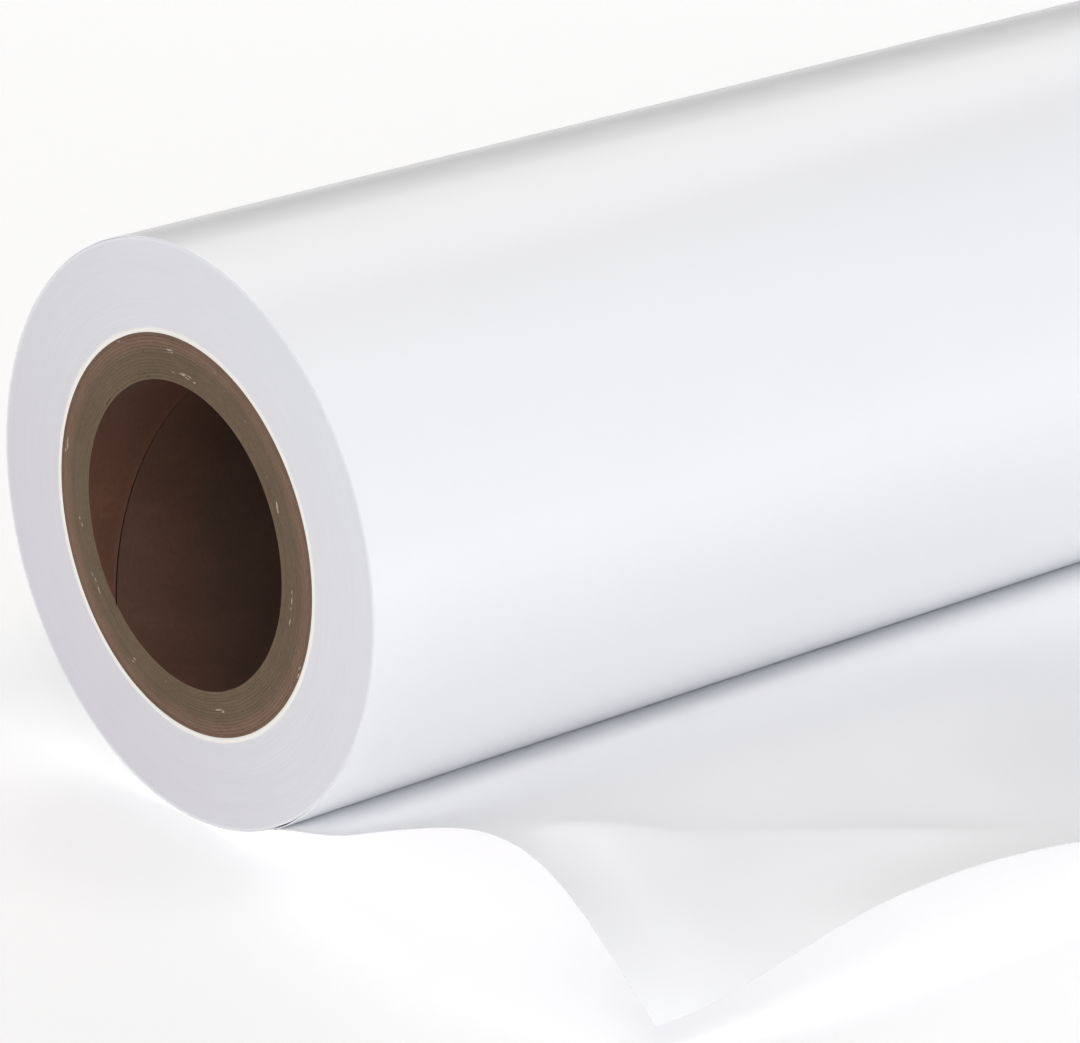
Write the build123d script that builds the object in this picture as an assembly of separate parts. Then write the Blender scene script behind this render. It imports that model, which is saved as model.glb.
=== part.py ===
"""Roll of self-adhesive sign vinyl on a paper core, with its loose end lying out in front.

Frame: X runs along the roll's axis, -X is the end from which the core plies are seen with the loose
end to the left, -Y is the front, where the loose end lies, and +Z is up. The origin is on the core's
axis, half way along it. Millimetres.
"""
import math
import os

from build123d import *

# ---------------------------------------------------------------- driving dimensions
web_width = 609.6            # width of the media, which is the roll's length: 24 in
core_bore_r = 38.1           # 3 in core
core_outer_r = 49.45         # wall of 11.35 mm
core_plies = 14              # spiral-wound board plies in the wall
film_t = 0.08                # vinyl film
adhesive_t = 0.02            # pressure-sensitive adhesive
liner_t = 0.10               # silicone-coated release liner
roll_outer_r = 72.6          # outside of the last turn
turn_clearance = 0.3         # last turn to the rest of the winding

leave_deg = 19.0             # where the web leaves the roll, past the bottom towards the front
lead_len = 20.0              # straight strip from there to the fold line
start_deg = 30.0             # where the last turn begins, past the bottom towards the front
fold_gap = 0.10              # between the straight strip and the loose end at the fold line

tape_t = 0.10                # tape that holds the first turn to the core
tape_len = 50.0
tape_deg = 14.0
tape_x = (-240.0, 0.0, 240.0)
tape_clearance = 0.05

web_t = film_t + adhesive_t + liner_t
wound_outer_r = roll_outer_r - web_t - turn_clearance
floor_z = -roll_outer_r
half = web_width / 2

# The loose end's mid-surface: at each distance from the -X end, its points from the fold line to the
# free edge as (Y, height above the surface that the roll stands on).
loose_end = [
    (0, [(-42.51, 10.56), (-52.21, 12.97), (-61.71, 16.07), (-70.94, 19.91), (-80.22, 23.66), (-89.53, 27.29), (-98.94, 30.68), (-108.57, 33.35), (-118.48, 34.56), (-128.41, 33.60), (-137.82, 30.30), (-146.49, 25.33), (-154.66, 19.56), (-162.64, 13.54), (-170.40, 7.23)]),
    (12.7, [(-42.51, 10.56), (-52.12, 13.34), (-61.62, 16.44), (-70.95, 20.05), (-80.25, 23.72), (-89.63, 27.19), (-99.16, 30.22), (-108.90, 32.43), (-118.86, 33.23), (-128.73, 31.85), (-138.10, 28.37), (-147.13, 24.09), (-155.89, 19.26), (-164.59, 14.34), (-173.26, 9.39)]),
    (25.4, [(-42.51, 10.56), (-52.03, 13.63), (-61.50, 16.85), (-70.85, 20.40), (-80.15, 24.07), (-89.55, 27.49), (-99.13, 30.34), (-108.93, 32.28), (-118.91, 32.69), (-128.75, 31.04), (-138.15, 27.65), (-147.37, 23.79), (-156.68, 20.13), (-166.12, 16.82), (-175.48, 13.35)]),
    (38.1, [(-42.51, 10.56), (-51.98, 13.78), (-61.42, 17.08), (-70.77, 20.62), (-80.09, 24.26), (-89.52, 27.59), (-99.15, 30.25), (-109.01, 31.86), (-119.00, 31.85), (-128.79, 29.91), (-138.22, 26.58), (-147.62, 23.18), (-157.27, 20.59), (-167.11, 18.81), (-176.96, 17.07)]),
    (50.8, [(-42.51, 10.56), (-51.96, 13.84), (-61.38, 17.20), (-70.73, 20.73), (-80.08, 24.29), (-89.55, 27.49), (-99.25, 29.92), (-109.16, 31.17), (-119.14, 30.73), (-128.87, 28.50), (-138.31, 25.19), (-147.86, 22.24), (-157.70, 20.52), (-167.68, 19.98), (-177.68, 19.92)]),
    (63.5, [(-42.51, 10.56), (-51.95, 13.87), (-61.35, 17.28), (-70.72, 20.79), (-80.10, 24.24), (-89.62, 27.29), (-99.37, 29.48), (-109.32, 30.37), (-119.28, 29.56), (-128.95, 27.08), (-138.39, 23.77), (-148.03, 21.15), (-157.96, 20.09), (-167.95, 20.49), (-177.88, 21.69)]),
    (76.2, [(-42.51, 10.56), (-51.95, 13.88), (-61.34, 17.30), (-70.72, 20.77), (-80.15, 24.11), (-89.73, 26.97), (-99.53, 28.91), (-109.51, 29.45), (-119.43, 28.31), (-129.06, 25.65), (-138.50, 22.36), (-148.20, 19.99), (-158.17, 19.39), (-168.10, 20.46), (-177.90, 22.46)]),
    (92, [(-42.51, 10.56), (-51.95, 13.88), (-61.35, 17.27), (-70.77, 20.65), (-80.25, 23.81), (-89.90, 26.42), (-99.77, 28.01), (-109.76, 28.16), (-119.63, 26.67), (-129.22, 23.86), (-138.70, 20.67), (-148.45, 18.51), (-158.43, 18.26), (-168.31, 19.77), (-177.99, 22.28)]),
    (110, [(-42.51, 10.56), (-51.95, 13.86), (-61.38, 17.19), (-70.84, 20.45), (-80.39, 23.40), (-90.11, 25.73), (-100.03, 26.98), (-110.01, 26.77), (-119.85, 25.02), (-129.43, 22.15), (-138.94, 19.08), (-148.73, 17.06), (-158.71, 16.83), (-168.59, 18.28), (-178.30, 20.66)]),
    (130, [(-42.51, 10.56), (-51.97, 13.82), (-61.43, 17.05), (-70.95, 20.12), (-80.57, 22.82), (-90.37, 24.84), (-100.32, 25.74), (-110.29, 25.15), (-120.06, 23.08), (-129.61, 20.10), (-139.15, 17.12), (-148.95, 15.16), (-158.93, 14.73), (-168.88, 15.68), (-178.72, 17.43)]),
    (152, [(-42.51, 10.56), (-51.99, 13.75), (-61.53, 16.75), (-71.15, 19.49), (-80.88, 21.78), (-90.75, 23.34), (-100.74, 23.73), (-110.65, 22.54), (-120.26, 19.80), (-129.66, 16.37), (-139.21, 13.42), (-149.03, 11.62), (-159.01, 11.12), (-168.99, 11.70), (-178.92, 12.91)]),
    (178, [(-42.51, 10.56), (-52.03, 13.64), (-61.66, 16.31), (-71.43, 18.45), (-81.31, 19.94), (-91.29, 20.58), (-101.27, 20.07), (-111.06, 18.08), (-120.49, 14.75), (-129.82, 11.16), (-139.46, 8.54), (-149.35, 7.12), (-159.34, 6.73), (-169.33, 7.09), (-179.30, 7.90)]),
    (210, [(-42.51, 10.56), (-52.06, 13.52), (-61.81, 15.75), (-71.72, 17.00), (-81.71, 17.10), (-91.67, 16.13), (-101.48, 14.17), (-111.10, 11.41), (-120.60, 8.28), (-130.24, 5.64), (-140.11, 4.12), (-150.08, 3.40), (-160.07, 3.20), (-170.07, 3.42), (-180.06, 3.84)]),
    (250, [(-42.51, 10.56), (-52.10, 13.38), (-61.94, 15.14), (-71.92, 15.44), (-81.84, 14.14), (-91.51, 11.55), (-100.97, 8.22), (-110.42, 4.93), (-120.13, 2.59), (-130.07, 1.58), (-140.06, 1.45), (-150.06, 1.44), (-160.06, 1.42), (-170.06, 1.51), (-180.06, 1.59)]),
    (300, [(-42.51, 10.56), (-52.14, 13.23), (-62.04, 14.57), (-72.03, 14.39), (-81.88, 12.67), (-91.43, 9.70), (-100.75, 6.07), (-110.17, 2.73), (-119.96, 0.87), (-129.95, 0.57), (-139.95, 0.87), (-149.95, 1.01), (-159.95, 0.99), (-169.95, 0.96), (-179.95, 0.86)]),
    (360, [(-42.51, 10.56), (-52.18, 13.08), (-62.12, 14.09), (-72.11, 13.74), (-81.99, 12.24), (-91.66, 9.73), (-101.14, 6.58), (-110.67, 3.56), (-120.51, 1.79), (-130.49, 1.30), (-140.49, 1.24), (-150.49, 1.15), (-160.49, 1.03), (-170.49, 0.95), (-180.49, 0.86)]),
    (430, [(-42.51, 10.56), (-52.20, 12.97), (-62.17, 13.68), (-72.13, 12.90), (-81.95, 11.02), (-91.61, 8.40), (-101.19, 5.48), (-110.87, 2.87), (-120.76, 1.30), (-130.75, 0.79), (-140.75, 0.71), (-150.75, 0.62), (-160.75, 0.52), (-170.75, 0.47), (-180.75, 0.43)]),
    (520, [(-42.51, 10.56), (-52.22, 12.91), (-62.19, 13.43), (-72.12, 12.33), (-81.88, 10.05), (-91.50, 7.18), (-101.12, 4.26), (-110.87, 1.86), (-120.80, 0.54), (-130.79, 0.22), (-140.79, 0.31), (-150.79, 0.37), (-160.79, 0.41), (-170.79, 0.48), (-180.79, 0.55)]),
    (609.6, [(-42.51, 10.56), (-52.22, 12.88), (-62.20, 13.34), (-72.14, 12.26), (-81.92, 10.09), (-91.58, 7.35), (-101.21, 4.53), (-110.94, 2.19), (-120.85, 0.92), (-130.85, 0.67), (-140.85, 0.83), (-150.85, 0.95), (-160.85, 1.01), (-170.85, 1.10), (-180.85, 1.15)]),
]

os.makedirs("parts", exist_ok=True)


def save(shape, name):
    shape.label = name
    export_step(shape, f"parts/{name}.step")
    print(f"{name:18s} volume {shape.volume:12.1f} mm3")


def tube(r_in, r_out, length, x0):
    """A tube along X from x0."""
    ring = Plane.YZ.offset(x0) * (Circle(r_out) - Circle(r_in))
    return extrude(ring, amount=length)


# ---------------------------------------------------------------- core: plies of paperboard
ply_t = (core_outer_r - core_bore_r) / core_plies
for i in range(core_plies):
    r0 = core_bore_r + i * ply_t
    if i == 0:
        name = "core_inner_ply"
    elif i == core_plies - 1:
        name = "core_outer_ply"
    else:
        name = f"core_ply_{i + 1:02d}"
    save(tube(r0, r0 + ply_t, web_width, -half), name)

# ---------------------------------------------------------------- start tape: three short lengths
def tape_sector(r_in, r_out, x_mid, length, deg):
    ring = tube(r_in, r_out, length, x_mid - length / 2)
    a = math.radians(deg / 2)
    reach = r_out * 1.6
    wedge = Plane.YZ.offset(x_mid - length / 2) * make_face(
        Polyline((0, 0), (reach * math.cos(a), reach * math.sin(a)), (reach * math.cos(a), -reach * math.sin(a)), (0, 0)))
    return ring & extrude(wedge, amount=length)


tapes = [tape_sector(core_outer_r, core_outer_r + tape_t, x, tape_len, tape_deg) for x in tape_x]
save(Compound(children=[Solid(t.solids()[0].wrapped) for t in tapes]), "start_tape")

# ---------------------------------------------------------------- wound web: the turns under the last one
web = tube(core_outer_r, wound_outer_r, web_width, -half)
for x in tape_x:
    web -= tape_sector(core_outer_r - 0.5, core_outer_r + tape_t + tape_clearance, x,
                       tape_len + 2 * tape_clearance, tape_deg + 0.2)
save(web, "wound_web")

# ---------------------------------------------------------------- last turn and the straight strip
a_leave = 270.0 - leave_deg
a_start = 270.0 - start_deg + 360.0
tangent = (-math.cos(math.radians(leave_deg)), math.sin(math.radians(leave_deg)))


def polar(r, a):
    return (r * math.cos(math.radians(a)), r * math.sin(math.radians(a)))


def last_turn(r_in, r_out):
    """Closed band: arc from the leaving line round the back and the top to its start, and the strip."""
    po, pi = polar(r_out, a_leave), polar(r_in, a_leave)
    eo = (po[0] + lead_len * tangent[0], po[1] + lead_len * tangent[1])
    ei = (pi[0] + lead_len * tangent[0], pi[1] + lead_len * tangent[1])
    edges = [
        CenterArc((0, 0), r_out, a_leave, a_start - a_leave),
        Line(polar(r_out, a_start), polar(r_in, a_start)),
        CenterArc((0, 0), r_in, a_leave, a_start - a_leave),
        Line(pi, ei),
        Line(ei, eo),
        Line(eo, po),
    ]
    return extrude(Plane.YZ.offset(-half) * make_face(edges), amount=web_width)


r0 = roll_outer_r
for name, t in (("wrap_film", film_t), ("wrap_adhesive", adhesive_t), ("wrap_liner", liner_t)):
    save(last_turn(r0 - t, r0), name)
    r0 -= t

# ---------------------------------------------------------------- loose end: film below, liner on top
def halved(row):
    """The row with a point put between each two, on a cubic through its four neighbours."""
    out = []
    for i in range(len(row) - 1):
        p1, p2 = row[i], row[i + 1]
        p0 = row[i - 1] if i else (2 * p1[0] - p2[0], 2 * p1[1] - p2[1])
        p3 = row[i + 2] if i + 2 < len(row) else (2 * p2[0] - p1[0], 2 * p2[1] - p1[1])
        out += [p1, tuple((9 * (b + c) - a - d) / 16 for a, b, c, d in zip(p0, p1, p2, p3))]
    return out + [row[-1]]


grid = [[(x - half, y - fold_gap, floor_z + h) for (y, h) in halved(row)] for (x, row) in loose_end]
n_x, n_v = len(grid), len(grid[0])


def sheet_layer(z_low, z_high):
    """Closed layer between the mid-surface raised by z_low and by z_high, of flat facets."""
    low = [[Vector(x, y, z + z_low) for (x, y, z) in row] for row in grid]
    high = [[Vector(x, y, z + z_high) for (x, y, z) in row] for row in grid]
    faces = []
    for i in range(n_x - 1):
        for j in range(n_v - 1):
            for side in (low, high):
                a, b, c, d = side[i][j], side[i + 1][j], side[i + 1][j + 1], side[i][j + 1]
                faces.append(Face(Wire.make_polygon([a, b, c])))
                faces.append(Face(Wire.make_polygon([a, c, d])))
    rim = [(i, 0) for i in range(n_x)] + [(n_x - 1, j) for j in range(1, n_v)]
    rim += [(i, n_v - 1) for i in range(n_x - 2, -1, -1)] + [(0, j) for j in range(n_v - 2, -1, -1)]
    for (i, j), (k, m) in zip(rim, rim[1:]):
        faces.append(Face(Wire.make_polygon([low[i][j], low[k][m], high[k][m], high[i][j]])))
    return Solid(Shell(faces))


z = -web_t / 2
for name, t in (("tail_film", film_t), ("tail_adhesive", adhesive_t), ("tail_liner", liner_t)):
    save(sheet_layer(z, z + t), name)
    z += t

cut = [sum(math.dist(p, q) for p, q in zip(row, row[1:])) for row in grid]
print("loose end from fold line to free edge %.1f to %.1f mm" % (min(cut), max(cut)))
fold = polar(roll_outer_r, a_leave)
print("fold line at y %.3f z %.3f" % (fold[0] + lead_len * tangent[0], fold[1] + lead_len * tangent[1]))
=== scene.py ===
import math
import bpy
import numpy as np
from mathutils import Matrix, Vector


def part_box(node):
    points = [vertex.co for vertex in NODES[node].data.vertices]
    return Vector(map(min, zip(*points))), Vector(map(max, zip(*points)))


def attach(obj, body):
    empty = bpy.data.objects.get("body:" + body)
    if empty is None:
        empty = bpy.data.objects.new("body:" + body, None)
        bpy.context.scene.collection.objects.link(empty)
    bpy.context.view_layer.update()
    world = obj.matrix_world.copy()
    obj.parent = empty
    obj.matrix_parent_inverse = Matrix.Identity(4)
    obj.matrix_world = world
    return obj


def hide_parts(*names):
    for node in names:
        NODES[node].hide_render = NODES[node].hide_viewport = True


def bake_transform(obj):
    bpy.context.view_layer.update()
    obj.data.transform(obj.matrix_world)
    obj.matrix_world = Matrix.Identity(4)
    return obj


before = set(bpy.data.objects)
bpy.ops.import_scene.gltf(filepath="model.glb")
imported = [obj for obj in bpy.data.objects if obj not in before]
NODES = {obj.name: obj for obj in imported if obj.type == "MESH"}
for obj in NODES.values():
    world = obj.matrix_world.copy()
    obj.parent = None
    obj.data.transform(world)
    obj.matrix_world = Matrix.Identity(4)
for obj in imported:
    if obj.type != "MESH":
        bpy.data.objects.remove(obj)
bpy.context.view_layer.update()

rng = np.random.default_rng(7)

# ------------------------------------------------------------------ sizes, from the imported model
MM = 0.001
_lo, _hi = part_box("core_inner_ply")
X0, X1 = _lo.x, _hi.x                       # near end, far end
BORE_R = 38.1 * MM
CORE_R = 49.45 * MM
PLIES = 14
PLY_T = (CORE_R - BORE_R) / PLIES
OUT_R = 72.6 * MM
WEB_T = 0.20 * MM
LEAVE = math.radians(19.0)
LEAD = 20.0 * MM
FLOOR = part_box("wrap_film")[0].z
FLOOR = -OUT_R if abs(FLOOR + OUT_R) < 0.3 * MM else FLOOR

# the loose end's mid-surface: distance from the near end, then (Y, height above the floor) in mm
LOOSE_END = [
    (0, [(-42.51, 10.56), (-52.21, 12.97), (-61.71, 16.07), (-70.94, 19.91), (-80.22, 23.66), (-89.53, 27.29), (-98.94, 30.68), (-108.57, 33.35), (-118.48, 34.56), (-128.41, 33.60), (-137.82, 30.30), (-146.49, 25.33), (-154.66, 19.56), (-162.64, 13.54), (-170.40, 7.23)]),
    (12.7, [(-42.51, 10.56), (-52.12, 13.34), (-61.62, 16.44), (-70.95, 20.05), (-80.25, 23.72), (-89.63, 27.19), (-99.16, 30.22), (-108.90, 32.43), (-118.86, 33.23), (-128.73, 31.85), (-138.10, 28.37), (-147.13, 24.09), (-155.89, 19.26), (-164.59, 14.34), (-173.26, 9.39)]),
    (25.4, [(-42.51, 10.56), (-52.03, 13.63), (-61.50, 16.85), (-70.85, 20.40), (-80.15, 24.07), (-89.55, 27.49), (-99.13, 30.34), (-108.93, 32.28), (-118.91, 32.69), (-128.75, 31.04), (-138.15, 27.65), (-147.37, 23.79), (-156.68, 20.13), (-166.12, 16.82), (-175.48, 13.35)]),
    (38.1, [(-42.51, 10.56), (-51.98, 13.78), (-61.42, 17.08), (-70.77, 20.62), (-80.09, 24.26), (-89.52, 27.59), (-99.15, 30.25), (-109.01, 31.86), (-119.00, 31.85), (-128.79, 29.91), (-138.22, 26.58), (-147.62, 23.18), (-157.27, 20.59), (-167.11, 18.81), (-176.96, 17.07)]),
    (50.8, [(-42.51, 10.56), (-51.96, 13.84), (-61.38, 17.20), (-70.73, 20.73), (-80.08, 24.29), (-89.55, 27.49), (-99.25, 29.92), (-109.16, 31.17), (-119.14, 30.73), (-128.87, 28.50), (-138.31, 25.19), (-147.86, 22.24), (-157.70, 20.52), (-167.68, 19.98), (-177.68, 19.92)]),
    (63.5, [(-42.51, 10.56), (-51.95, 13.87), (-61.35, 17.28), (-70.72, 20.79), (-80.10, 24.24), (-89.62, 27.29), (-99.37, 29.48), (-109.32, 30.37), (-119.28, 29.56), (-128.95, 27.08), (-138.39, 23.77), (-148.03, 21.15), (-157.96, 20.09), (-167.95, 20.49), (-177.88, 21.69)]),
    (76.2, [(-42.51, 10.56), (-51.95, 13.88), (-61.34, 17.30), (-70.72, 20.77), (-80.15, 24.11), (-89.73, 26.97), (-99.53, 28.91), (-109.51, 29.45), (-119.43, 28.31), (-129.06, 25.65), (-138.50, 22.36), (-148.20, 19.99), (-158.17, 19.39), (-168.10, 20.46), (-177.90, 22.46)]),
    (92, [(-42.51, 10.56), (-51.95, 13.88), (-61.35, 17.27), (-70.77, 20.65), (-80.25, 23.81), (-89.90, 26.42), (-99.77, 28.01), (-109.76, 28.16), (-119.63, 26.67), (-129.22, 23.86), (-138.70, 20.67), (-148.45, 18.51), (-158.43, 18.26), (-168.31, 19.77), (-177.99, 22.28)]),
    (110, [(-42.51, 10.56), (-51.95, 13.86), (-61.38, 17.19), (-70.84, 20.45), (-80.39, 23.40), (-90.11, 25.73), (-100.03, 26.98), (-110.01, 26.77), (-119.85, 25.02), (-129.43, 22.15), (-138.94, 19.08), (-148.73, 17.06), (-158.71, 16.83), (-168.59, 18.28), (-178.30, 20.66)]),
    (130, [(-42.51, 10.56), (-51.97, 13.82), (-61.43, 17.05), (-70.95, 20.12), (-80.57, 22.82), (-90.37, 24.84), (-100.32, 25.74), (-110.29, 25.15), (-120.06, 23.08), (-129.61, 20.10), (-139.15, 17.12), (-148.95, 15.16), (-158.93, 14.73), (-168.88, 15.68), (-178.72, 17.43)]),
    (152, [(-42.51, 10.56), (-51.99, 13.75), (-61.53, 16.75), (-71.15, 19.49), (-80.88, 21.78), (-90.75, 23.34), (-100.74, 23.73), (-110.65, 22.54), (-120.26, 19.80), (-129.66, 16.37), (-139.21, 13.42), (-149.03, 11.62), (-159.01, 11.12), (-168.99, 11.70), (-178.92, 12.91)]),
    (178, [(-42.51, 10.56), (-52.03, 13.64), (-61.66, 16.31), (-71.43, 18.45), (-81.31, 19.94), (-91.29, 20.58), (-101.27, 20.07), (-111.06, 18.08), (-120.49, 14.75), (-129.82, 11.16), (-139.46, 8.54), (-149.35, 7.12), (-159.34, 6.73), (-169.33, 7.09), (-179.30, 7.90)]),
    (210, [(-42.51, 10.56), (-52.06, 13.52), (-61.81, 15.75), (-71.72, 17.00), (-81.71, 17.10), (-91.67, 16.13), (-101.48, 14.17), (-111.10, 11.41), (-120.60, 8.28), (-130.24, 5.64), (-140.11, 4.12), (-150.08, 3.40), (-160.07, 3.20), (-170.07, 3.42), (-180.06, 3.84)]),
    (250, [(-42.51, 10.56), (-52.10, 13.38), (-61.94, 15.14), (-71.92, 15.44), (-81.84, 14.14), (-91.51, 11.55), (-100.97, 8.22), (-110.42, 4.93), (-120.13, 2.59), (-130.07, 1.58), (-140.06, 1.45), (-150.06, 1.44), (-160.06, 1.42), (-170.06, 1.51), (-180.06, 1.59)]),
    (300, [(-42.51, 10.56), (-52.14, 13.23), (-62.04, 14.57), (-72.03, 14.39), (-81.88, 12.67), (-91.43, 9.70), (-100.75, 6.07), (-110.17, 2.73), (-119.96, 0.87), (-129.95, 0.57), (-139.95, 0.87), (-149.95, 1.01), (-159.95, 0.99), (-169.95, 0.96), (-179.95, 0.86)]),
    (360, [(-42.51, 10.56), (-52.18, 13.08), (-62.12, 14.09), (-72.11, 13.74), (-81.99, 12.24), (-91.66, 9.73), (-101.14, 6.58), (-110.67, 3.56), (-120.51, 1.79), (-130.49, 1.30), (-140.49, 1.24), (-150.49, 1.15), (-160.49, 1.03), (-170.49, 0.95), (-180.49, 0.86)]),
    (430, [(-42.51, 10.56), (-52.20, 12.97), (-62.17, 13.68), (-72.13, 12.90), (-81.95, 11.02), (-91.61, 8.40), (-101.19, 5.48), (-110.87, 2.87), (-120.76, 1.30), (-130.75, 0.79), (-140.75, 0.71), (-150.75, 0.62), (-160.75, 0.52), (-170.75, 0.47), (-180.75, 0.43)]),
    (520, [(-42.51, 10.56), (-52.22, 12.91), (-62.19, 13.43), (-72.12, 12.33), (-81.88, 10.05), (-91.50, 7.18), (-101.12, 4.26), (-110.87, 1.86), (-120.80, 0.54), (-130.79, 0.22), (-140.79, 0.31), (-150.79, 0.37), (-160.79, 0.41), (-170.79, 0.48), (-180.79, 0.55)]),
    (609.6, [(-42.51, 10.56), (-52.22, 12.88), (-62.20, 13.34), (-72.14, 12.26), (-81.92, 10.09), (-91.58, 7.35), (-101.21, 4.53), (-110.94, 2.19), (-120.85, 0.92), (-130.85, 0.67), (-140.85, 0.83), (-150.85, 0.95), (-160.85, 1.01), (-170.85, 1.10), (-180.85, 1.15)]),
]


# ------------------------------------------------------------------ small helpers
def smooth(t):
    t = np.clip(t, 0.0, 1.0)
    return t * t * (3 - 2 * t)


def wave_noise(u, v, seed, n=9, fu=(0.5, 3.0), fv=(0.5, 3.0)):
    """Smooth noise of about unit size, as a sum of plane waves; u runs 0..1 round and wraps."""
    r = np.random.default_rng(seed)
    out = np.zeros(np.broadcast(u, v).shape)
    for _ in range(n):
        a = np.round(r.uniform(*fu)) * r.choice((-1, 1))
        b = r.uniform(*fv)
        out = out + np.sin(2 * math.pi * (a * u + b * v) + r.uniform(0, 2 * math.pi)) * r.uniform(0.5, 1.0)
    return out / math.sqrt(n * 0.3)


def cubic_spline(x, y, xq):
    """Natural cubic spline through (x, y[k, :]) evaluated at xq."""
    n = len(x)
    h = np.diff(x)
    A = np.zeros((n, n))
    B = np.zeros((n, y.shape[1]))
    A[0, 0] = A[-1, -1] = 1
    for i in range(1, n - 1):
        A[i, i - 1], A[i, i], A[i, i + 1] = h[i - 1], 2 * (h[i - 1] + h[i]), h[i]
        B[i] = 6 * ((y[i + 1] - y[i]) / h[i] - (y[i] - y[i - 1]) / h[i - 1])
    M = np.linalg.solve(A, B)
    i = np.clip(np.searchsorted(x, xq, side="right") - 1, 0, n - 2)
    t = (xq - x[i])[:, None]
    hi = h[i][:, None]
    a = y[i]
    b = (y[i + 1] - y[i]) / hi - hi * (2 * M[i] + M[i + 1]) / 6
    return a + b * t + M[i] / 2 * t * t + (M[i + 1] - M[i]) / (6 * hi) * t ** 3


def build(name, verts, quads, mats, mat_index=None, sharp=None):
    """A mesh object from arrays, facing outwards."""
    verts = np.ascontiguousarray(verts, dtype=np.float64)
    quads = np.ascontiguousarray(quads, dtype=np.int32)
    a, b, c, d = (verts[quads[:, k]] for k in range(4))
    vol = np.einsum("ij,ij->i", a, np.cross(b, c)).sum() + np.einsum("ij,ij->i", a, np.cross(c, d)).sum()
    if vol < 0:
        quads = quads[:, ::-1].copy()
    me = bpy.data.meshes.new(name)
    me.vertices.add(len(verts))
    me.vertices.foreach_set("co", verts.astype(np.float32).ravel())
    me.loops.add(quads.size)
    me.loops.foreach_set("vertex_index", quads.ravel())
    me.polygons.add(len(quads))
    me.polygons.foreach_set("loop_start", np.arange(len(quads), dtype=np.int32) * 4)
    if mat_index is not None:
        me.polygons.foreach_set("material_index", np.asarray(mat_index, dtype=np.int32))
    me.polygons.foreach_set("use_smooth", np.ones(len(quads), dtype=bool))
    me.update(calc_edges=True)
    me.validate()
    for m in mats:
        me.materials.append(m)
    if sharp is not None:
        me.set_sharp_from_angle(angle=math.radians(sharp))
    o = bpy.data.objects.new(name, me)
    bpy.context.scene.collection.objects.link(o)
    return o


def loop_quads(k, n, close_k=True, close_n=True):
    """Quads of a k by n grid of vertices."""
    ki = np.arange(k if close_k else k - 1)
    nj = np.arange(n if close_n else n - 1)
    K, J = np.meshgrid(ki, nj, indexing="ij")
    K2, J2 = (K + 1) % k, (J + 1) % n
    return np.stack([K * n + J, K2 * n + J, K2 * n + J2, K * n + J2], -1).reshape(-1, 4)


# ------------------------------------------------------------------ materials
def new_mat(name):
    m = bpy.data.materials.new(name)
    m.use_nodes = True
    nt = m.node_tree
    nt.nodes.clear()
    out = nt.nodes.new("ShaderNodeOutputMaterial")
    p = nt.nodes.new("ShaderNodeBsdfPrincipled")
    nt.links.new(p.outputs[0], out.inputs[0])
    return m, nt, p


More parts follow.
